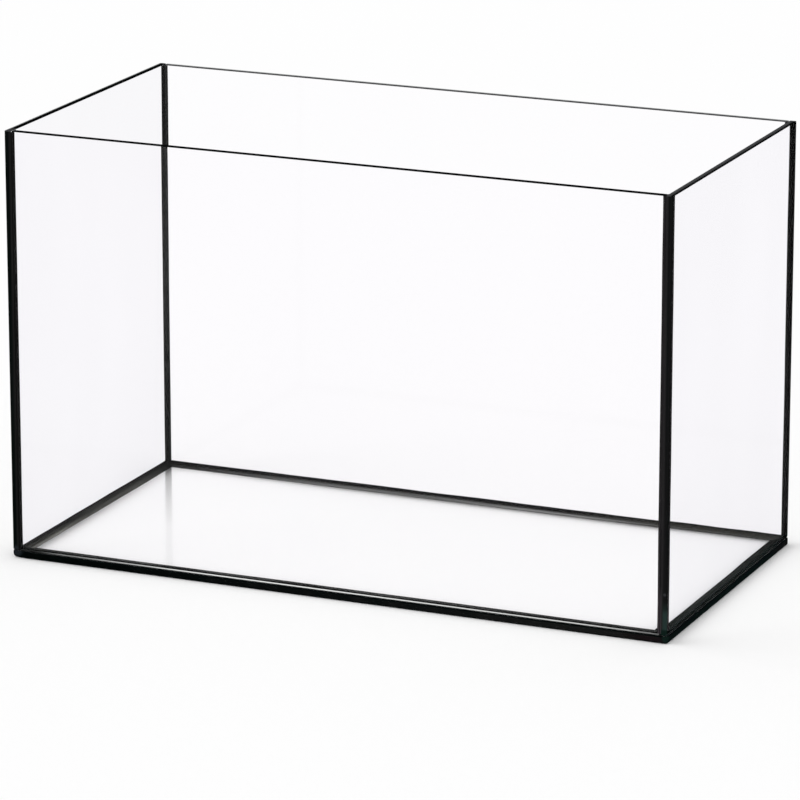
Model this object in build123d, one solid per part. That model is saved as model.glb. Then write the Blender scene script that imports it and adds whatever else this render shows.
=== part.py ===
from build123d import *

import os

# Rimless glass aquarium: five panes of float glass, joined and sealed with black silicone.
# The origin is at the centre of the underside. +X runs along the tank to its right end, +Y runs
# from the front pane to the back pane, and +Z is up. Lengths are in millimetres.

# Outside size
tank_length = 800.0
tank_depth = 400.0
tank_height = 500.0

# Glass
base_thickness = 8.0
wall_thickness = 8.0
# Ground bevel along every edge of a pane
arris = 1.2
# The base pane's corners are cut off, and it stands out past the walls
base_corner_cut = 3.0
base_ledge = 0.6

# Structural silicone: under the walls, and where the front and back panes end at the side panes
base_bond = 1.0
corner_bond = 1.0

# Tooled inner beads: legs from the corner, the hollow of the surface, and the edge's thickness
floor_bead_reach = 12.5
floor_bead_rise = 4.5
floor_bead_hollow = 1.2
corner_bead_leg = 4.0
corner_bead_hollow = 0.7
bead_edge = 0.4
# The corner beads stop short of the rim, so that a cover can lie flat on it
bead_rim_gap = 2.0

# Worked out from the sizes above
wall_length = tank_length - 2 * base_ledge
wall_depth = tank_depth - 2 * base_ledge
wall_foot = base_thickness + base_bond
wall_height = tank_height - wall_foot
inner_length = wall_length - 2 * wall_thickness
inner_depth = wall_depth - 2 * wall_thickness
crossing_length = inner_length - 2 * corner_bond


def glass_pane(length, depth, height, upright_cut=0.0):
    """A pane of glass with ground edges, resting on the XY plane with its centre on the Z axis."""
    pane = Box(length, depth, height, align=(Align.CENTER, Align.CENTER, Align.MIN))
    edges = pane.edges()
    if upright_cut > 0:
        pane = chamfer(pane.edges().filter_by(Axis.Z), upright_cut)
        faces = pane.faces().sort_by(Axis.Z)
        edges = faces[0].edges() + faces[-1].edges()
    return chamfer(edges, arris)


def base_pane():
    return glass_pane(tank_length, tank_depth, base_thickness, base_corner_cut)


def crossing_pane(side):
    """The front pane (side -1) or the back pane (side 1), set between the side panes."""
    middle = side * (wall_depth - wall_thickness) / 2
    return Pos(0, middle, wall_foot) * glass_pane(crossing_length, wall_thickness, wall_height)


def side_pane(side):
    """The left pane (side -1) or the right pane (side 1), which runs the full depth."""
    middle = side * (wall_length - wall_thickness) / 2
    return Pos(middle, 0, wall_foot) * glass_pane(wall_thickness, wall_depth, wall_height)


def block(x_ends, y_ends, z_ends):
    """A plain box between two ends on each axis."""
    x, y, z = min(x_ends), min(y_ends), min(z_ends)
    size = [abs(ends[1] - ends[0]) for ends in (x_ends, y_ends, z_ends)]
    return Pos(x, y, z) * Box(*size, align=(Align.MIN, Align.MIN, Align.MIN))


# A bond fills the joint up to the outer bevel, and it fills the inner bevel, behind the bead.


def crossing_base_bond(side, pane):
    """The bond under the front pane (side -1) or the back pane (side 1)."""
    x_end = inner_length / 2
    y_ends = (side * (wall_depth / 2 - arris), side * inner_depth / 2)
    return block((-x_end, x_end), y_ends, (base_thickness, wall_foot + arris)) - pane


def side_base_bond(side, pane):
    """The bond under the left pane (side -1) or the right pane (side 1)."""
    x_ends = (side * (wall_length / 2 - arris), side * inner_length / 2)
    y_end = wall_depth / 2 - arris
    return block(x_ends, (-y_end, y_end), (base_thickness, wall_foot + arris)) - pane


def upright_bond(side_x, side_y, pane):
    """The bond between the end of the front or back pane and the inner face of a side pane."""
    x_ends = (side_x * inner_length / 2, side_x * (crossing_length / 2 - arris))
    y_ends = (side_y * (wall_depth / 2 - arris), side_y * inner_depth / 2)
    return block(x_ends, y_ends, (wall_foot + arris, tank_height - arris)) - pane


def bead_section(reach, rise, hollow):
    """Section of a tooled bead: its corner at the origin, reach along X, rise along Y."""
    low = Vector(reach, bead_edge)
    high = Vector(bead_edge, rise)
    chord = high - low
    into_corner = Vector(-chord.Y, chord.X).normalized()
    middle = (low + high) / 2 + into_corner * hollow
    return make_face(
        Line((0, 0), (reach, 0))
        + Line((reach, 0), (low.X, low.Y))
        + ThreePointArc(low, middle, high)
        + Line((high.X, high.Y), (0, rise))
        + Line((0, rise), (0, 0))
    )


def floor_bead(run, wall_distance, turn):
    """The bead along the foot of one wall, mitred at both ends.

    It is made along the front wall and then turned about the Z axis to its own wall.
    """
    section = bead_section(floor_bead_reach, floor_bead_rise, floor_bead_hollow)
    start = Plane((-run / 2, -wall_distance, base_thickness), x_dir=(0, 1, 0), z_dir=(1, 0, 0))
    bar = extrude(start * section, run, dir=(1, 0, 0))
    mitres = make_face(
        Polyline(
            (-run / 2, -wall_distance),
            (run / 2, -wall_distance),
            (run / 2 - floor_bead_reach, -wall_distance + floor_bead_reach),
            (-run / 2 + floor_bead_reach, -wall_distance + floor_bead_reach),
            close=True,
        )
    )
    between_mitres = extrude(Pos(0, 0, base_thickness) * mitres, floor_bead_rise, dir=(0, 0, 1))
    return Rot(0, 0, turn) * (bar & between_mitres)


def corner_bead(side_x, side_y, floor_beads):
    """The bead up one inner corner, standing on the floor beads that meet there."""
    section = bead_section(corner_bead_leg, corner_bead_leg, corner_bead_hollow)
    height = tank_height - bead_rim_gap - base_thickness
    bead = extrude(section, height, dir=(0, 0, 1))
    if side_x > 0:
        bead = mirror(bead, Plane.YZ)
    if side_y > 0:
        bead = mirror(bead, Plane.XZ)
    bead = Pos(side_x * inner_length / 2, side_y * inner_depth / 2, base_thickness) * bead
    for below in floor_beads:
        bead = bead - below
    return bead


def make_nodes():
    """Every piece of the tank by its name."""
    crossings = {"front": -1, "back": 1}
    sides = {"left": -1, "right": 1}
    nodes = {"base_pane": base_pane()}
    for name, side in crossings.items():
        pane = crossing_pane(side)
        nodes[f"{name}_pane"] = pane
        nodes[f"base_bond_{name}"] = crossing_base_bond(side, pane)
        turn = 0 if side < 0 else 180
        nodes[f"floor_bead_{name}"] = floor_bead(inner_length, inner_depth / 2, turn)
    for name, side in sides.items():
        pane = side_pane(side)
        nodes[f"{name}_pane"] = pane
        nodes[f"base_bond_{name}"] = side_base_bond(side, pane)
        turn = 90 * side
        nodes[f"floor_bead_{name}"] = floor_bead(inner_depth, inner_length / 2, turn)
    for name_y, side_y in crossings.items():
        for name_x, side_x in sides.items():
            corner = f"{name_y}_{name_x}"
            floor_beads = (nodes[f"floor_bead_{name_y}"], nodes[f"floor_bead_{name_x}"])
            nodes[f"corner_bond_{corner}"] = upright_bond(side_x, side_y, nodes[f"{name_y}_pane"])
            nodes[f"corner_bead_{corner}"] = corner_bead(side_x, side_y, floor_beads)
    return nodes


os.makedirs("parts", exist_ok=True)
for node_name, shape in make_nodes().items():
    export_step(shape, f"parts/{node_name}.step")
    print(node_name, len(shape.solids()), "solid,", round(shape.volume), "mm3")
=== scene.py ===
import math

import bmesh
import bpy
from mathutils import Euler, Matrix, Vector, noise


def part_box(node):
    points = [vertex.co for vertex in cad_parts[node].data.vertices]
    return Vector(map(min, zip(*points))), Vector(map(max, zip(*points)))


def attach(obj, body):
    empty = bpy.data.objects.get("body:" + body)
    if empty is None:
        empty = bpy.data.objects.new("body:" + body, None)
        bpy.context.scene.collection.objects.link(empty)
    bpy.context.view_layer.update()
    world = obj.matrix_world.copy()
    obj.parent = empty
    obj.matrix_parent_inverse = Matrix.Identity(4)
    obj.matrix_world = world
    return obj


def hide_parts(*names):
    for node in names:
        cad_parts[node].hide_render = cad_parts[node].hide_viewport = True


# A rimless glass aquarium with black silicone joints, on a pale floor. Lengths are in metres.

MM = 0.001

# The camera, found from the corners of the tank in the photograph
CAMERA_PLACE = (2.2382, -5.1838, 1.7672)
CAMERA_TILT_DOWN = 0.2741
CAMERA_TURN = 0.4080
CAMERA_LENS = 231.2
CAMERA_CLIP_END = 100.0
SENSOR_WIDTH = 36.0

# Even light from all round, and one soft lamp, which shines this way
WORLD_STRENGTH = 0.826
LAMP_TOWARDS = (0.9, 0.3, -0.75)
LAMP_SPREAD = math.radians(50)
LAMP_STRENGTH = 0.91

# The floor, and how far it is below the base pane
FLOOR_SIZE = 60.0
FLOOR_DROP = 0.5 * MM

# Ground bevels of the panes: along their edges, a steep one along the foot of a wall, and a finer one at
# the rim, rounded through these shares of its height
ARRIS = 1.2 * MM
FOOT_BEVEL_HEIGHT = 1.5 * MM
FOOT_BEVEL_REACH = 0.45 * MM
RIM_ARRIS = 0.6 * MM
RIM_STEPS = (1.0, 0.5, 0.2, 0.0)
WALL_CORNER_PIECES = 2

# How much of each corner of the base pane is rounded off, by the side of X and of Y that it is on
BASE_CORNERS = {(1, 1): 3.0 * MM, (-1, 1): 3.0 * MM, (-1, -1): 3.7 * MM, (1, -1): 3.0 * MM}
BASE_CORNER_PIECES = 6

# The underside is rounded too at the worn front left corner, and less along its two sides, up to this length
WORN_CORNER = (-1, -1)
WORN_REACH = 3.4 * MM
WORN_HEIGHT = 5.0 * MM
WORN_LENGTH = 11.0 * MM
WORN_STEPS = [step * MM for step in (1.5, 3, 4.5, 6, 8, 11)]

# Where the outlines of the base pane are, up from its underside and down from its top
BASE_STEPS_UP = [step * MM for step in (0, 0.25, 0.7, 1.2, 2.0, 3.0, 4.0, 5.0)]
BASE_STEPS_DOWN = [step * MM for step in (1.2, 0.6, 0.25, 0)]

# Silicone runs this far into the glass that it sticks to, so that no air shows between them
WETTING = 0.05 * MM
BOND = 1.0 * MM
BOND_MENISCUS = 0.35 * MM

# Tooled beads: the legs, hollow and edge of their section, in this many pieces
BEAD_EDGE = 0.35 * MM
FLOOR_BEAD_REACH = 12.5 * MM
FLOOR_BEAD_RISES = {"front": 3.6 * MM, "back": 4.5 * MM, "left": 4.5 * MM, "right": 4.2 * MM}
FLOOR_BEAD_HOLLOW = 1.2 * MM
ARC_PIECES = 12

# Legs of each corner bead, along the front or back pane and along the side pane, and its hollow as a
# share of them
CORNER_BEAD_LEGS = {
    "front_left": (1.6 * MM, 4.0 * MM),
    "front_right": (5.2 * MM, 4.0 * MM),
    "back_left": (5.8 * MM, 5.6 * MM),
    "back_right": (3.2 * MM, 4.0 * MM),
}
CORNER_BEAD_HOLLOW = 0.18

# The corner beads start at this share of the lowest floor bead, and stop this far below the rim
CORNER_BEAD_ROOT = 0.5
CORNER_BEAD_GAP = 0.7 * MM

# How far apart the cross sections of a bead are
STATION = 2.5 * MM

# How far the legs of a bead wander along it, over which length, and how much of its ends is even
FLOOR_REACH_WANDER, FLOOR_REACH_WAVE = 0.7 * MM, 70 * MM
FLOOR_RISE_WANDER, FLOOR_RISE_WAVE = 0.4 * MM, 45 * MM
FLOOR_EVEN_END = 20 * MM
CORNER_WANDER = 0.35 * MM
CORNER_WAVE_X, CORNER_WAVE_Y = 80 * MM, 60 * MM
CORNER_EVEN_END = 12 * MM

# Streaks and lumps of a bead's skin: their height, length and number across, and the noise that lumps
# start from
STREAK_HEIGHT, STREAK_LENGTH, STREAKS_ACROSS = 0.12 * MM, 90 * MM, 9
LUMP_HEIGHT, LUMP_LENGTH, LUMPS_ACROSS, LUMP_FROM = 0.4 * MM, 5 * MM, 3, 0.6

# At the edges of the section the skin keeps this share of them, and it rises from there at this rate
SKIN_AT_EDGE, SKIN_RISE = 0.2, 6

# How far apart two seeds lie in the noise, what a bead's second leg adds to its seed, the middle one of the
# corners' seeds, and the slice of the noise that the legs wander in
WANDER_SEED, STREAK_SEED, LUMP_SEED = 17.3, 5.1, 3.7
SECOND_LEG = 9
CORNER_SEED = 5
WANDER_SLICE = 0.5

# A face's normal has more than this along the way that it faces straight, more than this along a way that
# it leans, and less than this up or down when the face is upright
STRAIGHT = 0.999
LEANING = 0.1
UPRIGHT = 0.001

# Silicone is smooth over an edge, unless its faces turn by more than this
SHARP_EDGE = math.radians(40)

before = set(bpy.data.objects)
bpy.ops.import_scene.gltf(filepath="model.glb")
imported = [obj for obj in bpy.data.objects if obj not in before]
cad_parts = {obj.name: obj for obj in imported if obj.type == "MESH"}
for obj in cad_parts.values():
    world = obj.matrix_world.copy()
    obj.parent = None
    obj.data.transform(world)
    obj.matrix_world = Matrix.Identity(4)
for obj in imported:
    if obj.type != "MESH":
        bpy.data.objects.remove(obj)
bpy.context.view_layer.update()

base_low, base_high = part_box("base_pane")
back_low, back_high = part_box("back_pane")
right_low, right_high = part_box("right_pane")

BASE_TOP = base_high.z
RIM = back_high.z
INNER_X = right_low.x
INNER_Y = back_low.y
WALL = back_high.y - back_low.y
WALL_Y = right_high.y

# Which way each wall faces
OUTWARD = {
    "front": Vector((0, -1, 0)),
    "back": Vector((0, 1, 0)),
    "left": Vector((-1, 0, 0)),
    "right": Vector((1, 0, 0)),
}

# The side of the middle that each wall is on, and the turn that brings a run along the front wall to it
CROSSINGS = {"front": (-1, 0), "back": (1, 180)}
SIDES = {"left": (-1, -90), "right": (1, 90)}


# Materials

WHITE = (1.0, 1.0, 1.0, 1.0)
GLASS_IOR = 1.5

# Noise is mostly between these values, round this middle
NOISE_LOW, NOISE_HIGH = 0.3, 0.7
NOISE_MIDDLE = 0.5

# Sockets of the node that mixes two colours
MIX_SHARE, MIX_FIRST, MIX_SECOND, MIX_RESULT = 0, 6, 7, 2

# Wipe marks on glass: their noise, the part of it that shows, and how rough they are
MARKS_SCALE, MARKS_STRETCH = 6.0, (1.0, 1.0, 0.35)
MARKS_FROM, MARKS_TO = 0.45, 0.75
MARKS_ROUGHNESS = 0.012

# Skins: how far the roughness varies, the bump, and how far the streaks shift the tones of a patch or a rim
STREAK_DETAIL = 2.0
ROUGHNESS_SPREAD = 0.1
GRAIN, GRAIN_DEPTH = 0.1, 0.1 * MM
PATCH_WOBBLE, RIM_WOBBLE = 0.012, 0.06
RIM_GRAIN_SCALE = 300.0

# The floor: its two tones, how large the clouds between them are, and its roughness
FLOOR_TONES = [(NOISE_LOW, (0.985, 0.985, 0.986)), (NOISE_HIGH, (0.989, 0.989, 0.99))]
FLOOR_CLOUD_SCALE = 0.8
FLOOR_ROUGHNESS = 0.9

# The tone of a bead's foot starts and ends at these heights over the base, with these shares between
FOOT_FROM = 0.2 * MM
FOOT_TO = 2.2 * MM
FOOT_STOPS = [(0.0, 0.0), (0.05, 0.0), (0.08, 1.0), (0.25, 0.7), (0.55, 0.25), (1.0, 0.0)]


def new_material(name):
    """An empty node material and its output node."""
    material = bpy.data.materials.new(name)
    material.use_nodes = True
    nodes = material.node_tree.nodes
    nodes.clear()
    output = nodes.new("ShaderNodeOutputMaterial")
    return material, nodes, material.node_tree.links, output


def place_output(nodes):
    """The place of a surface point."""
    return nodes.new("ShaderNodeTexCoord").outputs["Object"]


def noise_output(nodes, links, scale, detail=3.0, stretch=(1.0, 1.0, 1.0)):
    """Noise with features about 1 / scale metres apart, stretched along an axis."""
    mapping = nodes.new("ShaderNodeMapping")
    mapping.inputs["Scale"].default_value = stretch
    texture = nodes.new("ShaderNodeTexNoise")
    texture.inputs["Scale"].default_value = scale
    texture.inputs["Detail"].default_value = detail
    links.new(place_output(nodes), mapping.inputs["Vector"])
    links.new(mapping.outputs["Vector"], texture.inputs["Vector"])
    return texture.outputs["Fac"]


def axis_output(nodes, links, axis):
    """The place of a surface point along one axis."""
    parts = nodes.new("ShaderNodeSeparateXYZ")
    links.new(place_output(nodes), parts.inputs[0])
    return parts.outputs[axis]


def distance_output(nodes, links, middle):
    """How far a surface point is from another point."""
    distance = nodes.new("ShaderNodeVectorMath")
    distance.operation = "DISTANCE"
    links.new(place_output(nodes), distance.inputs[0])
    distance.inputs[1].default_value = middle
    return distance.outputs["Value"]


def range_output(nodes, links, source, low, high, from_low=0.0, from_high=1.0):
    """A value moved from one range to another."""
    change = nodes.new("ShaderNodeMapRange")
    change.inputs["From Min"].default_value = from_low
    change.inputs["From Max"].default_value = from_high
    change.inputs["To Min"].default_value = low
    change.inputs["To Max"].default_value = high
    links.new(source, change.inputs["Value"])
    return change.outputs["Result"]


def maths_output(nodes, links, operation, first, second, clamp=False):
    """A sum, product or the like of two values, of which the second may be a number."""
    node = nodes.new("ShaderNodeMath")
    node.operation = operation
    node.use_clamp = clamp
    links.new(first, node.inputs[0])
    if isinstance(second, float):
        node.inputs[1].default_value = second
    else:
        links.new(second, node.inputs[1])
    return node.outputs[0]


def ramp_output(nodes, links, source, stops):
    """A colour that changes with a value, by (value from 0 to 1, colour) stops."""
    ramp = nodes.new("ShaderNodeValToRGB")
    elements = ramp.color_ramp.elements
    while len(elements) < len(stops):
        elements.new(0.5)
    for element, (position, colour) in zip(elements, stops):
        element.position = position
        element.color = (*colour, 1.0)
    links.new(source, ramp.inputs["Fac"])
    return ramp.outputs["Color"]


def share_output(nodes, links, source, stops):
    """A share that changes with a value, by (value from 0 to 1, share) stops."""
    greys = [(position, (share, share, share)) for position, share in stops]
    return ramp_output(nodes, links, source, greys)


def blend_output(nodes, links, share, first, second):
    """A colour between two others, of which the second may be plain."""
    mix = nodes.new("ShaderNodeMix")
    mix.data_type = "RGBA"
    links.new(share, mix.inputs[MIX_SHARE])
    links.new(first, mix.inputs[MIX_FIRST])
    if isinstance(second, tuple):
        mix.inputs[MIX_SECOND].default_value = (*second, 1.0)
    else:
        links.new(second, mix.inputs[MIX_SECOND])
    return mix.outputs[MIX_RESULT]


def shader_blend_output(nodes, links, share, first, second):
    """A shader between two others."""
    mix = nodes.new("ShaderNodeMixShader")
    links.new(share, mix.inputs["Fac"])
    links.new(first, mix.inputs[1])
    links.new(second, mix.inputs[2])
    return mix.outputs["Shader"]


def spot_output(nodes, links, spot):
    """A value that changes with the distance from a point, by a near and a far (distance, value)."""
    middle, (near, near_value), (far, far_value) = spot
    distance = distance_output(nodes, links, middle)
    return range_output(nodes, links, distance, near_value, far_value, near, far)


def wobbly_output(nodes, links, source, streaks, size):
    """A value that streaks shift a little to and fro."""
    wobble = range_output(nodes, links, streaks, -size, size, NOISE_LOW, NOISE_HIGH)
    return maths_output(nodes, links, "ADD", source, wobble)


def patch_output(nodes, links, colour, streaks, patch):
    """A colour with another tone over it. Its share changes along an axis, or with the distance from a point,
    by (place, share) stops."""
    where, places, tone = patch
    low, high = places[0][0], places[-1][0]
    measure = axis_output if isinstance(where, str) else distance_output
    along = range_output(nodes, links, measure(nodes, links, where), 0.0, 1.0, low, high)
    moved = wobbly_output(nodes, links, along, streaks, PATCH_WOBBLE)
    stops = [((place - low) / (high - low), share) for place, share in places]
    return blend_output(nodes, links, share_output(nodes, links, moved, stops), colour, tone)


def glass_material(name, tint, mirror, cloud=0.004, gloss_roughness=0.0):
    """Clear glass with faint wipe marks. Rays from lamps and from matt surfaces pass straight through it.
    mirror scales what it reflects, as a number or by the distance from a point."""
    material, nodes, links, output = new_material(name)
    marks = noise_output(nodes, links, MARKS_SCALE, stretch=MARKS_STRETCH)
    lighter = [min(1.0, channel + cloud) for channel in tint]

    def marked(roughness):
        return range_output(nodes, links, marks, roughness, roughness + MARKS_ROUGHNESS, MARKS_FROM, MARKS_TO)

    bend = nodes.new("ShaderNodeBsdfRefraction")
    bend.inputs["IOR"].default_value = GLASS_IOR
    tinted = ramp_output(nodes, links, marks, [(NOISE_LOW, tint), (NOISE_HIGH, lighter)])
    links.new(tinted, bend.inputs["Color"])
    links.new(marked(0.0), bend.inputs["Roughness"])
    gloss = nodes.new("ShaderNodeBsdfAnisotropic")
    gloss.inputs["Color"].default_value = WHITE
    links.new(marked(gloss_roughness), gloss.inputs["Roughness"])
    fresnel = nodes.new("ShaderNodeFresnel")
    fresnel.inputs["IOR"].default_value = GLASS_IOR
    scale = mirror if isinstance(mirror, float) else spot_output(nodes, links, mirror)
    share = maths_output(nodes, links, "MULTIPLY", fresnel.outputs[0], scale, clamp=True)
    glass = shader_blend_output(nodes, links, share, bend.outputs["BSDF"], gloss.outputs["BSDF"])
    clear = nodes.new("ShaderNodeBsdfTransparent")
    clear.inputs["Color"].default_value = WHITE
    path = nodes.new("ShaderNodeLightPath").outputs
    lighting = maths_output(nodes, links, "MAXIMUM", path["Is Shadow Ray"], path["Is Diffuse Ray"])
    surface = shader_blend_output(nodes, links, lighting, glass, clear.outputs["BSDF"])
    links.new(surface, output.inputs["Surface"])
    return material


def add_skin(nodes, links, output, colour, streaks, roughness, specular, patches):
    """The shader of an opaque skin, with patches over its colour, and gloss and bump along its streaks."""
    shader = nodes.new("ShaderNodeBsdfPrincipled")
    for patch in patches:
        colour = patch_output(nodes, links, colour, streaks, patch)
    links.new(colour, shader.inputs["Base Color"])
    shader.inputs["Specular IOR Level"].default_value = specular
    low, high = roughness - ROUGHNESS_SPREAD, roughness + ROUGHNESS_SPREAD
    rough = range_output(nodes, links, streaks, low, high, NOISE_LOW, NOISE_HIGH)
    links.new(rough, shader.inputs["Roughness"])
    bump = nodes.new("ShaderNodeBump")
    bump.inputs["Strength"].default_value = GRAIN
    bump.inputs["Distance"].default_value = GRAIN_DEPTH
    links.new(streaks, bump.inputs["Height"])
    links.new(bump.outputs["Normal"], shader.inputs["Normal"])
    links.new(shader.outputs["BSDF"], output.inputs["Surface"])


def skin_material(name, tones, roughness, specular, scale, stretch, foot=None, patches=(), spread=0.18):
    """An opaque skin: silicone, or a ground glass edge. It varies between a dark and a light tone along its
    streaks, and where a bead thins out over the base it takes the two paler tones of foot, partly the thin
    film and partly painted sheen. The patches lie over both."""
    material, nodes, links, output = new_material(name)
    streaks = noise_output(nodes, links, scale, STREAK_DETAIL, stretch)
    ends = (NOISE_MIDDLE - spread, NOISE_MIDDLE + spread)
    colour = ramp_output(nodes, links, streaks, list(zip(ends, tones)))
    if foot:
        thin = ramp_output(nodes, links, streaks, list(zip(ends, foot)))
        height = axis_output(nodes, links, "Z")
        rise = range_output(nodes, links, height, 0.0, 1.0, BASE_TOP + FOOT_FROM, BASE_TOP + FOOT_TO)
        colour = blend_output(nodes, links, share_output(nodes, links, rise, FOOT_STOPS), colour, thin)
    add_skin(nodes, links, output, colour, streaks, roughness, specular, patches)
    return material


def edge_material(name, tones, scale, patches=(), roughness=0.5, stretch=(1, 1, 1)):
    """A ground glass edge."""
    return skin_material(name, tones, roughness, specular=0.0, scale=scale, stretch=stretch, patches=patches)


def bead_material(name, stretch, tones, specular, foot=None, patches=()):
    """Tooled silicone."""
    look = {"roughness": 0.4, "specular": specular, "scale": 300.0, "spread": 0.08}
    return skin_material(name, tones, stretch=stretch, foot=foot, patches=patches, **look)


def joint_material(name, stretch, tones, patches=()):
    """Silicone that sticks to glass, as it is seen through the glass."""
    look = {"roughness": 0.6, "specular": 0.0, "scale": 500.0, "spread": 0.1}
    return skin_material(name, tones, stretch=stretch, patches=patches, **look)


def rim_material(name, axis, inner_face, stops, patches=()):
    """The ground top of a wall. Its tone changes from the inner face to the outer one, as stops say."""
    material, nodes, links, output = new_material(name)
    outer_face = inner_face + math.copysign(WALL, inner_face)
    place = axis_output(nodes, links, axis)
    across = range_output(nodes, links, place, 0.0, 1.0, inner_face, outer_face)
    streaks = noise_output(nodes, links, RIM_GRAIN_SCALE, STREAK_DETAIL)
    colour = ramp_output(nodes, links, wobbly_output(nodes, links, across, streaks, RIM_WOBBLE), stops)
    add_skin(nodes, links, output, colour, streaks, roughness=0.5, specular=0.0, patches=patches)
    return material


def floor_material():
    """A pale matt surface."""
    material, nodes, links, output = new_material("pale_floor")
    shader = nodes.new("ShaderNodeBsdfPrincipled")
    clouds = noise_output(nodes, links, FLOOR_CLOUD_SCALE)
    links.new(ramp_output(nodes, links, clouds, FLOOR_TONES), shader.inputs["Base Color"])
    shader.inputs["Roughness"].default_value = FLOOR_ROUGHNESS
    shader.inputs["Specular IOR Level"].default_value = 0.0
    links.new(shader.outputs["BSDF"], output.inputs["Surface"])
    return material


# The base reflects the back left corner joint near its foot, and less the further away from it
CORNER_GLOSS = ((-INNER_X, INNER_Y, BASE_TOP), (0.01, 2.6), (0.26, 0.4))

POLISHED = glass_material("polished_glass", (0.9965, 0.994, 0.999), mirror=0.12, cloud=0.002)
# The side panes are the same glass as the front and back ones. Their deeper tint is painted shade, for the
# light that glass loses when it is seen at a slant.
SHADED_SIDE_GLASS = glass_material("side_glass_painted_shade", (0.968, 0.965, 0.974), mirror=0.03, cloud=0.012)
BASE_GLASS = glass_material("base_glass", (0.999, 0.997, 1.0), mirror=CORNER_GLOSS, gloss_roughness=0.12)
UNDER_GLASS = glass_material("under_glass", (0.999, 0.998, 1.0), mirror=0.12)

# Stretches of the noise that make streaks along an axis
ALONG_X, ALONG_Y, ALONG_Z = (0.02, 1, 1), (1, 0.02, 1), (1, 1, 0.01)

# Patches, as (axis or point, stops of place and share, tone). Two are at the feet of the front corners, and
# one is towards the back of the right side.
GREEN_CORNER = ((0.4, -0.2, 0.006), [(0.0, 1.0), (0.0052, 1.0), (0.0066, 0.0)], (0.006, 0.0145, 0.0115))
GREY_CORNER = ((-0.3935, -0.2, 0.008), [(0.0, 1.0), (0.004, 1.0), (0.008, 0.0)], (0.013, 0.016, 0.019))
PLAIN_END = ("Y", [(0.13, 0.0), (0.168, 0.9), (0.2, 1.0)], (0.0065, 0.0066, 0.0065))

# The front edge of the base pane is black at the left. Towards the right it is grey, purple and then green.
EDGE_PATCHES = [
    ("X", [(-0.4, 0.95), (-0.3, 0.9), (0.1, 0.0)], (0.0008, 0.0016, 0.0014)),
    ("X", [(0.12, 0.0), (0.3, 0.7), (0.345, 0.7), (0.37, 0.0)], (0.0125, 0.0125, 0.0122)),
    ("X", [(0.34, 0.0), (0.375, 1.0), (0.39, 1.0), (0.396, 0.0)], (0.0095, 0.0066, 0.0074)),
    ("X", [(0.396, 0.0), (0.3975, 1.0), (0.4, 1.0)], (0.0036, 0.0072, 0.0062)),
    PLAIN_END,
    GREEN_CORNER,
    GREY_CORNER,
]
DARK_TONES = ((0.001, 0.002, 0.002), (0.003, 0.004, 0.004))
EDGE_TONES = ((0.0032, 0.004, 0.0039), (0.0085, 0.0088, 0.0088))
BASE_EDGE = edge_material("base_edge", EDGE_TONES, 45.0, EDGE_PATCHES)
BASE_ARRIS = edge_material("base_arris", DARK_TONES, 400.0, [GREEN_CORNER, GREY_CORNER], roughness=0.4)
DARK_BEVEL = edge_material("dark_bevel", DARK_TONES, 400.0, roughness=0.4)
FOOT_TONES = ((0.012, 0.016, 0.015), (0.018, 0.028, 0.027))
SIDE_FOOT = edge_material("side_foot", FOOT_TONES, 25.0, [PLAIN_END])

# Along the foot of the front and back panes the bevel carries a painted highlight: near white in the middle,
# fading to dark towards both ends
FOOT_HIGHLIGHT_PLACES = [
    (-0.4, 0.0),
    (-0.375, 0.02),
    (-0.36, 0.14),
    (-0.29, 0.38),
    (-0.2, 0.82),
    (-0.14, 1.0),
    (-0.03, 1.0),
    (0.19, 0.82),
    (0.31, 0.78),
    (0.37, 0.34),
    (0.392, 0.12),
]
PAINTED_FOOT_HIGHLIGHT = ("X", FOOT_HIGHLIGHT_PLACES, (0.95, 0.96, 0.95))
FOOT_BEVEL_HIGHLIGHTED = edge_material("foot_bevel_painted_highlight", ((0.008, 0.009, 0.009), (0.02, 0.021, 0.021)), 60.0, [PAINTED_FOOT_HIGHLIGHT])

# The ground ends of the side panes. Silicone is smeared over their inner edge, and the right one shows green
# glass near its foot. Above that is a pale spot, a painted highlight where a bubble in the silicone catches
# the light.
LEFT_SMEAR = ("X", [(-0.3946, 0.0), (-0.3938, 1.0), (-0.39, 1.0)], (0.0095, 0.0095, 0.0095))
RIGHT_SMEAR = ("X", [(0.39, 1.0), (0.3938, 1.0), (0.3948, 0.0)], (0.0165, 0.0158, 0.0163))
GREEN_FOOT = ("Z", [(0.0, 0.95), (0.034, 0.9), (0.038, 0.4), (0.048, 0.0)], (0.02, 0.0365, 0.033))
DIM_FOOT = ("Z", [(0.0, 1.0), (0.0145, 1.0), (0.0165, 0.0)], (0.005, 0.0137, 0.0105))
# A pale spot: painted highlight on a bubble in the silicone
BUBBLE_HIGHLIGHT = ((0.3963, -0.1994, 0.0555), [(0.0, 1.0), (0.0012, 1.0), (0.002, 0.0)], (0.034, 0.034, 0.038))
SIDE_ENDS = {
    "left": edge_material(
        "end_left",
        ((0.001, 0.002, 0.0018), (0.0042, 0.0058, 0.0053)),
        500.0,
        [LEFT_SMEAR, GREY_CORNER],
        stretch=ALONG_Z,
    ),
    "right": edge_material(
        "end_right",
        ((0.0042, 0.0043, 0.0044), (0.0095, 0.0094, 0.0098)),
        500.0,
        [GREEN_FOOT, RIGHT_SMEAR, BUBBLE_HIGHLIGHT, DIM_FOOT],
        stretch=ALONG_Z,
    ),
}
BEVEL_TONES = ((0.004, 0.0045, 0.0045), (0.007, 0.0075, 0.0075))
SIDE_BEVELS = {
    "left": DARK_BEVEL,
    "right": edge_material("bevel_right", BEVEL_TONES, 400.0, [GREEN_FOOT, DIM_FOOT]),
}
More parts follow.
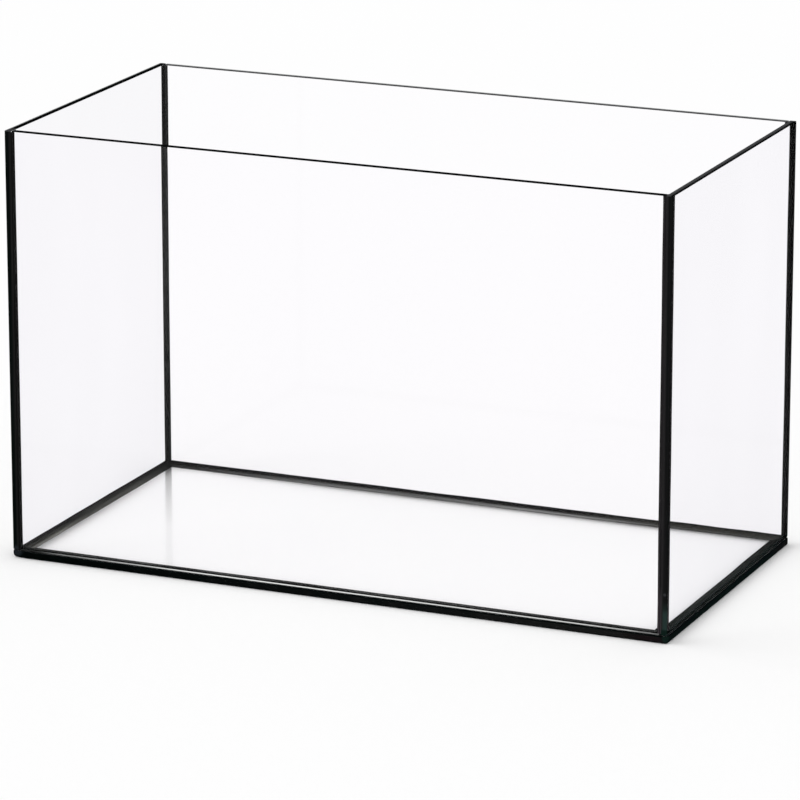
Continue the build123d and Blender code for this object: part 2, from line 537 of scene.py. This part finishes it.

# The rims, from the inner face outwards. Their bands are painted light and shade: the pale outer parts of the
# back and left rims are a painted reflection, and their darker parts are painted shade.
BLACK = (0.0015, 0.002, 0.002)
SLATE = (0.028, 0.029, 0.03)
GREY = (0.055, 0.056, 0.058)
PALE = (0.3, 0.305, 0.305)
GREY_AT_FRONT = ("Y", [(-0.2, 1.0), (-0.19, 0.9), (-0.182, 0.0)], (0.05, 0.05, 0.052))
FRONT_RIM = [(0.0, BLACK), (1.0, (0.004, 0.0045, 0.0045))]
BACK_RIM = [(0.0, GREY), (0.45, GREY), (0.62, PALE), (1.0, PALE)]
LEFT_RIM = [(0.0, BLACK), (0.7, BLACK), (0.82, PALE)]
RIGHT_RIM = [(0.0, GREY), (0.48, GREY), (0.56, SLATE), (0.68, SLATE), (0.76, BLACK)]
RIMS = {
    "front": rim_material("rim_front", "Y", -INNER_Y, FRONT_RIM),
    "back": rim_material("rim_back", "Y", INNER_Y, BACK_RIM),
    "left": rim_material("rim_left", "X", -INNER_X, LEFT_RIM, [GREY_AT_FRONT]),
    "right": rim_material("rim_right", "X", INNER_X, RIGHT_RIM),
}

# The pale foot of the left bead fades out towards the back, and that of the back bead towards both corners,
# as painted shade, darkest at the back left corner. Their upper edges have a tone of their own.
LEFT_SHADE = [
    ("Z", [(0.0103, 0.0), (0.0115, 0.7), (0.0125, 0.8)], (0.012, 0.012, 0.013)),
    ("Y", [(-0.1, 0.0), (0.0, 0.2), (0.1, 0.55), (0.15, 0.8), (0.19, 0.95)], (0.006, 0.006, 0.0062)),
]
BACK_SHADE = [
    ("X", [(-0.39, 0.95), (-0.36, 0.85), (-0.3, 0.5), (-0.2, 0.2), (-0.1, 0.0)], (0.005, 0.005, 0.0048)),
    ("X", [(0.15, 0.0), (0.26, 0.8), (0.39, 0.8)], (0.028, 0.028, 0.024)),
    ("Z", [(0.0108, 0.0), (0.0116, 0.8), (0.0125, 0.9)], (0.008, 0.008, 0.009)),
]
# The floor beads are one silicone, painted lighter or darker on each wall for how the light falls on it, with
# the palest painted sheen on the feet of the back and left beads.
FLOOR_BEADS = {
    "front": bead_material(
        "silicone_front",
        ALONG_X,
        ((0.004, 0.0038, 0.004), (0.02, 0.0195, 0.0195)),
        specular=0.02,
        foot=((0.03, 0.03, 0.028), (0.07, 0.07, 0.068)),
    ),
    "back": bead_material(
        "silicone_back",
        ALONG_X,
        ((0.005, 0.005, 0.005), (0.018, 0.018, 0.0175)),
        specular=0.01,
        foot=((0.11, 0.112, 0.11), (0.23, 0.232, 0.23)),
        patches=BACK_SHADE,
    ),
    "left": bead_material(
        "silicone_left",
        ALONG_Y,
        ((0.003, 0.003, 0.0028), (0.034, 0.034, 0.032)),
        specular=0.01,
        foot=((0.055, 0.055, 0.05), (0.19, 0.19, 0.175)),
        patches=LEFT_SHADE,
    ),
    "right": bead_material(
        "silicone_right",
        ALONG_Y,
        ((0.006, 0.0075, 0.007), (0.02, 0.023, 0.022)),
        specular=0.0,
        foot=((0.01, 0.012, 0.0115), (0.026, 0.03, 0.029)),
        patches=[PLAIN_END],
    ),
}


def neutral(*levels):
    """A grey for each level."""
    return tuple((level, level, level) for level in levels)


# The corner beads are one silicone, painted lighter on the left than on the right for how the light falls on
# them.
CORNER_BEADS = {
    "left": bead_material("silicone_corner_left", ALONG_Z, neutral(0.015, 0.032), specular=0.0),
    "right": bead_material("silicone_corner_right", ALONG_Z, neutral(0.004, 0.012), specular=0.0),
}

DARK_JOINT = neutral(0.006, 0.011)
JOINT = joint_material("joint", ALONG_Z, DARK_JOINT)
SIDE_JOINTS = {
    "left": joint_material("joint_foot_left", ALONG_Y, DARK_JOINT, [GREY_CORNER]),
    "right": joint_material("joint_foot_right", ALONG_Y, DARK_JOINT, [DIM_FOOT]),
}
# The joints are one silicone, painted lighter or darker at each place for the light that reaches them through
# the glass.
PURPLE_FOOT = ("Z", [(0.0, 1.0), (0.05, 0.9), (0.065, 0.0)], (0.045, 0.038, 0.043))
PALER_FOOT = ("Z", [(0.0, 1.0), (0.5, 0.0)], (0.016, 0.016, 0.016))
NEAR_CORNER_TONES = ((0.017, 0.0158, 0.0168), (0.031, 0.0287, 0.0305))
JOINTS = {
    "front": joint_material("joint_front", ALONG_X, ((0.022, 0.0225, 0.022), (0.1, 0.102, 0.099))),
    "back": joint_material("joint_back", ALONG_X, neutral(0.008, 0.025)),
    "left": joint_material("joint_left", ALONG_Y, ((0.008, 0.008, 0.008), (0.025, 0.025, 0.023))),
    "right": joint_material("joint_right", ALONG_Y, ((0.01, 0.0145, 0.0145), (0.023, 0.033, 0.033))),
    "front_left": joint_material("joint_front_left", ALONG_Z, neutral(0.0075, 0.014)),
    "front_right": joint_material("joint_front_right", ALONG_Z, NEAR_CORNER_TONES, [PURPLE_FOOT]),
    "back_left": joint_material("joint_back_left", ALONG_Z, neutral(0.012, 0.025)),
    "back_right": joint_material("joint_back_right", ALONG_Z, neutral(0.003, 0.0105), [PALER_FOOT]),
}


# Building


def add_piece(name, mesh, materials, node):
    """Puts a finished mesh in the scene in the place of a CAD node."""
    piece = bpy.data.objects.new(name, mesh)
    bpy.context.scene.collection.objects.link(piece)
    for material in materials:
        mesh.materials.append(material)
    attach(piece, "root")
    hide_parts(node)
    return piece


# The surfaces of a wall and of the base, in the order of their materials
FACE, RIM_TOP, FOOT_BEVEL, UNDERSIDE, GROUND_END, OUTER_BEVEL, NEAR_BONDED, FAR_BONDED = range(8)
BASE_FACE, BASE_UNDERSIDE, BASE_SIDE, BASE_BEVEL = range(4)


def outline(low, high, radii, pieces, extra=()):
    """Points round a box seen from above, with rounded corners, as (point, outward, distance from the worn
    corner). extra gives more points along the two sides at that corner."""
    points = []
    for (side_x, side_y), radius in radii.items():
        corner_x = (high if side_x > 0 else low).x
        corner_y = (high if side_y > 0 else low).y
        centre = Vector((corner_x - side_x * radius, corner_y - side_y * radius))
        middle = math.atan2(side_y, side_x)
        start, end = middle - math.pi / 4, middle + math.pi / 4
        turned = [start + (end - start) * i / pieces for i in range(pieces + 1)]
        outs = [Vector((math.cos(angle), math.sin(angle))) for angle in turned]
        worn = (side_x, side_y) == WORN_CORNER
        before = Vector((-outs[0].y, outs[0].x))
        after = Vector((-outs[-1].y, outs[-1].x))
        if worn:
            for step in reversed(extra):
                points.append((centre + outs[0] * radius - before * step, outs[0], step))
        for out in outs:
            points.append((centre + out * radius, out, 0.0 if worn else math.inf))
        if worn:
            for step in extra:
                points.append((centre + outs[-1] * radius + after * step, outs[-1], step))
    return points


def stack_mesh(name, points, levels, inset, kind_of):
    """A pane as outlines on top of each other. inset(height, distance) draws each point in."""
    shape = bmesh.new()
    rows = []
    for z in levels:
        row = []
        for point, out, distance in points:
            place = point - out * inset(z, distance)
            row.append(shape.verts.new((place.x, place.y, z)))
        rows.append(row)
    count = len(points)
    for under, over in zip(rows, rows[1:]):
        for i in range(count):
            j = (i + 1) % count
            shape.faces.new((under[i], under[j], over[j], over[i]))
    shape.faces.new(list(reversed(rows[0])))
    shape.faces.new(rows[-1])
    bmesh.ops.recalc_face_normals(shape, faces=shape.faces)
    shape.normal_update()
    for face in shape.faces:
        face.material_index = kind_of(face)
    return finished_mesh(name, shape)


def finished_mesh(name, shape):
    """A mesh with the faces of a shape, which is freed."""
    mesh = bpy.data.meshes.new(name)
    shape.to_mesh(mesh)
    shape.free()
    return mesh


def rounding(depth, height, reach):
    """How far a rounded edge draws in, that far from the face that it ends at."""
    left = max(0.0, 1 - depth / height)
    return reach * (1 - math.sqrt(1 - left**2))


def wall_mesh(name, low, high, outward):
    """A wall pane with bevelled edges. Where silicone sticks to them, they have its tone."""
    levels = [low.z, low.z + FOOT_BEVEL_HEIGHT] + [high.z - step * RIM_ARRIS for step in RIM_STEPS]
    radii = {side: ARRIS for side in BASE_CORNERS}
    crossing = abs(outward.y) > 0

    def inset(z, _):
        foot = FOOT_BEVEL_REACH * max(0.0, 1 - (z - low.z) / FOOT_BEVEL_HEIGHT)
        return foot + rounding(high.z - z, RIM_ARRIS, RIM_ARRIS)

    def kind_of(face):
        straight_out = face.normal.dot(outward)
        if abs(straight_out) > STRAIGHT:
            return FACE
        if face.normal.z > LEANING:
            return RIM_TOP
        if face.normal.z < -LEANING:
            return FOOT_BEVEL if straight_out > LEANING else UNDERSIDE
        if crossing or straight_out < -LEANING:
            middle = face.calc_center_median()
            return NEAR_BONDED if (middle.x if crossing else middle.y) < 0 else FAR_BONDED
        return OUTER_BEVEL if straight_out > LEANING else GROUND_END

    return stack_mesh(name, outline(low, high, radii, WALL_CORNER_PIECES), levels, inset, kind_of)


def base_mesh(name, low, high):
    """The base pane, with rounded corners and bevelled edges."""
    levels = [low.z + step for step in BASE_STEPS_UP] + [high.z - step for step in BASE_STEPS_DOWN]

    def inset(z, distance):
        near = max(0.0, 1 - distance / WORN_LENGTH)
        share = near * near * (3 - 2 * near)
        height = ARRIS + (WORN_HEIGHT - ARRIS) * share
        reach = ARRIS + (WORN_REACH - ARRIS) * share
        return rounding(z - low.z, height, reach) + rounding(high.z - z, ARRIS, ARRIS)

    def kind_of(face):
        if face.normal.z > STRAIGHT:
            return BASE_FACE
        if face.normal.z < -STRAIGHT:
            return BASE_UNDERSIDE
        return BASE_SIDE if abs(face.normal.z) < UPRIGHT else BASE_BEVEL

    points = outline(low, high, BASE_CORNERS, BASE_CORNER_PIECES, WORN_STEPS)
    return stack_mesh(name, points, levels, inset, kind_of)


def bar_mesh(name, rings, kinds=None):
    """A closed solid through rings of points, with flat ends. kinds gives the slot of each side face."""
    shape = bmesh.new()
    rows = [[shape.verts.new(point) for point in ring] for ring in rings]
    count = len(rows[0])
    for near, far in zip(rows, rows[1:]):
        for i in range(count):
            j = (i + 1) % count
            face = shape.faces.new((near[i], near[j], far[j], far[i]))
            face.smooth = True
            face.material_index = kinds[i] if kinds else 0
    shape.faces.new(rows[0])
    shape.faces.new(rows[-1])
    bmesh.ops.recalc_face_normals(shape, faces=shape.faces)
    for edge in shape.edges:
        if len(edge.link_faces) == 2 and edge.calc_face_angle() > SHARP_EDGE:
            edge.smooth = False
    return finished_mesh(name, shape)


def bond_section():
    """The bond beside a pane's edge, as (inward from the pane's inner face, across the joint)."""
    outer_end = -WALL + ARRIS
    return [
        (outer_end, -WETTING),
        (WETTING, -WETTING),
        (WETTING, BOND + ARRIS),
        (-ARRIS - WETTING, BOND + WETTING),
        (outer_end, BOND + WETTING),
        (outer_end + BOND_MENISCUS, BOND / 2),
    ]


def bead_section(reach, rise, hollow, roughen):
    """A tooled bead in its corner, as (out along the floor, up the wall). roughen(t) lifts the skin."""
    low = Vector((reach, BEAD_EDGE))
    high = Vector((BEAD_EDGE, rise))
    chord = high - low
    into_corner = Vector((-chord.y, chord.x)).normalized()
    points = [Vector((-WETTING, -WETTING)), Vector((reach, -WETTING))]
    for i in range(ARC_PIECES + 1):
        t = i / ARC_PIECES
        kept = min(1.0, SKIN_RISE * min(t, 1 - t) + SKIN_AT_EDGE)
        sink = hollow * 4 * t * (1 - t) - roughen(t) * kept
        points.append(low.lerp(high, t) + into_corner * sink)
    points.append(Vector((-WETTING, rise)))
    return points


# The faces that stick to glass are the first and the last of a bead's section
BEAD_KINDS = [1] + [0] * (ARC_PIECES + 2) + [1]


def wander(along, wavelength, seed):
    """Smooth noise from -1 to 1 along a run."""
    return noise.noise(Vector((along / wavelength, seed * WANDER_SEED, WANDER_SLICE)))


def fade(along, end, width):
    """0 at both ends of a run from -end to end, and 1 further in."""
    return max(0.0, min(1.0, (end - abs(along)) / width))


def skin(along, t, seed, lump_height=0.0):
    """Height of the tooled skin: streaks along the run, and small lumps."""
    streaks = noise.noise(Vector((along / STREAK_LENGTH, t * STREAKS_ACROSS, seed * STREAK_SEED)))
    lumps = noise.noise(Vector((along / LUMP_LENGTH, t * LUMPS_ACROSS, seed * LUMP_SEED)))
    return STREAK_HEIGHT * streaks + lump_height * max(0.0, lumps - LUMP_FROM)


def steps(start, end):
    """Evenly spaced places from start to end, about a station apart."""
    count = max(2, round((end - start) / STATION))
    return [start + (end - start) * i / count for i in range(count + 1)]


def floor_bead(wall, run, wall_distance, turn, seed):
    """The bead along the foot of a wall: laid along the front wall, mitred, and turned to its own wall."""
    node = "floor_bead_" + wall
    half = run / 2
    turned = Matrix.Rotation(math.radians(turn), 3, "Z")
    rings = []
    for along in steps(-half, half):
        calm = fade(along, half, FLOOR_EVEN_END)
        reach = FLOOR_BEAD_REACH + FLOOR_REACH_WANDER * calm * wander(along, FLOOR_REACH_WAVE, seed)
        uneven = FLOOR_RISE_WANDER * calm * wander(along, FLOOR_RISE_WAVE, seed + SECOND_LEG)
        rise = FLOOR_BEAD_RISES[wall] + uneven
        section = bead_section(
            reach, rise, FLOOR_BEAD_HOLLOW, lambda t: calm * skin(along, t, seed, LUMP_HEIGHT)
        )
        ring = []
        for out, up in section:
            mitred = along * (half - max(0.0, out)) / half
            ring.append(turned @ Vector((mitred, -wall_distance + out, BASE_TOP + up)))
        rings.append(ring)
    mesh = bar_mesh(node, rings, BEAD_KINDS)
    return add_piece(node + "_silicone", mesh, [FLOOR_BEADS[wall], JOINTS[wall]], node)


def corner_bead(corner, side_x, side_y):
    """The bead up an inner corner, rooted in the floor beads."""
    node = "corner_bead_" + corner
    seed = CORNER_SEED + side_x + 2 * side_y
    long_x, long_y = CORNER_BEAD_LEGS[corner]
    bottom = BASE_TOP + min(FLOOR_BEAD_RISES.values()) * CORNER_BEAD_ROOT
    top = RIM - CORNER_BEAD_GAP
    middle = (bottom + top) / 2
    rings = []
    for z in steps(bottom, top):
        calm = fade(z - middle, top - middle, CORNER_EVEN_END)
        leg_x = long_x + CORNER_WANDER * calm * wander(z, CORNER_WAVE_X, seed)
        leg_y = long_y + CORNER_WANDER * calm * wander(z, CORNER_WAVE_Y, seed + SECOND_LEG)
        hollow = CORNER_BEAD_HOLLOW * (leg_x + leg_y) / 2
        section = bead_section(leg_x, leg_y, hollow, lambda t: calm * skin(z, t, seed))
        rings.append([Vector((side_x * (INNER_X - x), side_y * (INNER_Y - y), z)) for x, y in section])
    mesh = bar_mesh(node, rings, BEAD_KINDS)
    materials = [CORNER_BEADS["left" if side_x < 0 else "right"], JOINTS[corner]]
    return add_piece(node + "_silicone", mesh, materials, node)


def base_bond(wall, run, wall_distance, turn):
    """The bond under a wall."""
    node = "base_bond_" + wall
    turned = Matrix.Rotation(math.radians(turn), 3, "Z")
    rings = []
    for along in (-run / 2, run / 2):
        ring = []
        for inward, across in bond_section():
            ring.append(turned @ Vector((along, -wall_distance + inward, BASE_TOP + across)))
        rings.append(ring)
    return add_piece(node + "_silicone", bar_mesh(node, rings), [JOINT], node)


def corner_bond(corner, side_x, side_y):
    """The bond between the end of the front or back pane and a side pane."""
    node = "corner_bond_" + corner
    low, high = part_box(node)
    rings = []
    for z in (low.z, high.z):
        ring = []
        for inward, across in bond_section():
            ring.append(Vector((side_x * (INNER_X - across), side_y * (INNER_Y - inward), z)))
        rings.append(ring)
    return add_piece(node + "_silicone", bar_mesh(node, rings), [JOINTS[corner]], node)


def build_panes():
    base = base_mesh("base_pane", base_low, base_high)
    materials = [BASE_GLASS, UNDER_GLASS, BASE_EDGE, BASE_ARRIS]
    add_piece("base_pane_glass", base, materials, "base_pane")
    for name, outward in OUTWARD.items():
        node = name + "_pane"
        mesh = wall_mesh(node, *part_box(node), outward)
        if name in SIDES:
            materials = [SHADED_SIDE_GLASS, RIMS[name], SIDE_FOOT, SIDE_JOINTS[name], SIDE_ENDS[name]]
            materials += [SIDE_BEVELS[name], JOINTS["front_" + name], JOINTS["back_" + name]]
        else:
            materials = [POLISHED, RIMS[name], FOOT_BEVEL_HIGHLIGHTED, JOINT, JOINT]
            materials += [DARK_BEVEL, JOINTS[name + "_left"], JOINTS[name + "_right"]]
        add_piece(node + "_glass", mesh, materials, node)


def build_silicone():
    for seed, (name, (_, turn)) in enumerate(CROSSINGS.items(), 1):
        floor_bead(name, 2 * INNER_X, INNER_Y, turn, seed)
        base_bond(name, 2 * INNER_X, INNER_Y, turn)
    for seed, (name, (_, turn)) in enumerate(SIDES.items(), 3):
        floor_bead(name, 2 * INNER_Y, INNER_X, turn, seed)
        base_bond(name, 2 * (WALL_Y - ARRIS), INNER_X, turn)
    for name_y, (side_y, _) in CROSSINGS.items():
        for name_x, (side_x, _) in SIDES.items():
            corner = name_y + "_" + name_x
            corner_bond(corner, side_x, side_y)
            corner_bead(corner, side_x, side_y)


# Surroundings


def build_floor():
    mesh = bpy.data.meshes.new("floor")
    half = FLOOR_SIZE / 2
    corners = [(-half, -half), (half, -half), (half, half), (-half, half)]
    mesh.from_pydata([(x, y, -FLOOR_DROP) for x, y in corners], [], [(0, 1, 2, 3)])
    floor = bpy.data.objects.new("floor", mesh)
    bpy.context.scene.collection.objects.link(floor)
    mesh.materials.append(floor_material())


def build_world():
    """Even white light. What the camera, gloss and glass see of it is white."""
    world = bpy.data.worlds.new("studio")
    bpy.context.scene.world = world
    world.use_nodes = True
    nodes, links = world.node_tree.nodes, world.node_tree.links
    nodes.clear()
    output = nodes.new("ShaderNodeOutputWorld")
    light = nodes.new("ShaderNodeBackground")
    light.inputs["Color"].default_value = WHITE
    light.inputs["Strength"].default_value = WORLD_STRENGTH
    seen = nodes.new("ShaderNodeBackground")
    seen.inputs["Color"].default_value = WHITE
    path = nodes.new("ShaderNodeLightPath").outputs
    gloss = maths_output(nodes, links, "MAXIMUM", path["Is Camera Ray"], path["Is Glossy Ray"])
    glass = maths_output(nodes, links, "MAXIMUM", gloss, path["Is Transmission Ray"])
    lights = (light.outputs["Background"], seen.outputs["Background"])
    links.new(shader_blend_output(nodes, links, glass, *lights), output.inputs["Surface"])


def add_lamp(name, towards, spread, strength):
    """Soft light from one side, as from a large lamp far away."""
    lamp = bpy.data.lights.new(name, "SUN")
    lamp.angle = spread
    lamp.energy = strength
    holder = bpy.data.objects.new(name, lamp)
    holder.rotation_euler = Vector(towards).to_track_quat("-Z", "Y").to_euler()
    bpy.context.scene.collection.objects.link(holder)


def build_camera():
    lens = bpy.data.cameras.new("camera")
    lens.sensor_width = SENSOR_WIDTH
    lens.lens = CAMERA_LENS
    lens.clip_end = CAMERA_CLIP_END
    camera = bpy.data.objects.new("camera", lens)
    camera.location = CAMERA_PLACE
    camera.rotation_euler = Euler((math.pi / 2 - CAMERA_TILT_DOWN, 0.0, CAMERA_TURN))
    bpy.context.scene.collection.objects.link(camera)
    bpy.context.scene.camera = camera


build_camera()
build_panes()
build_silicone()
build_floor()
build_world()
add_lamp("lamp_front_left", LAMP_TOWARDS, LAMP_SPREAD, LAMP_STRENGTH)

bpy.context.scene.view_settings.view_transform = "Standard"

bpy.context.view_layer.update()
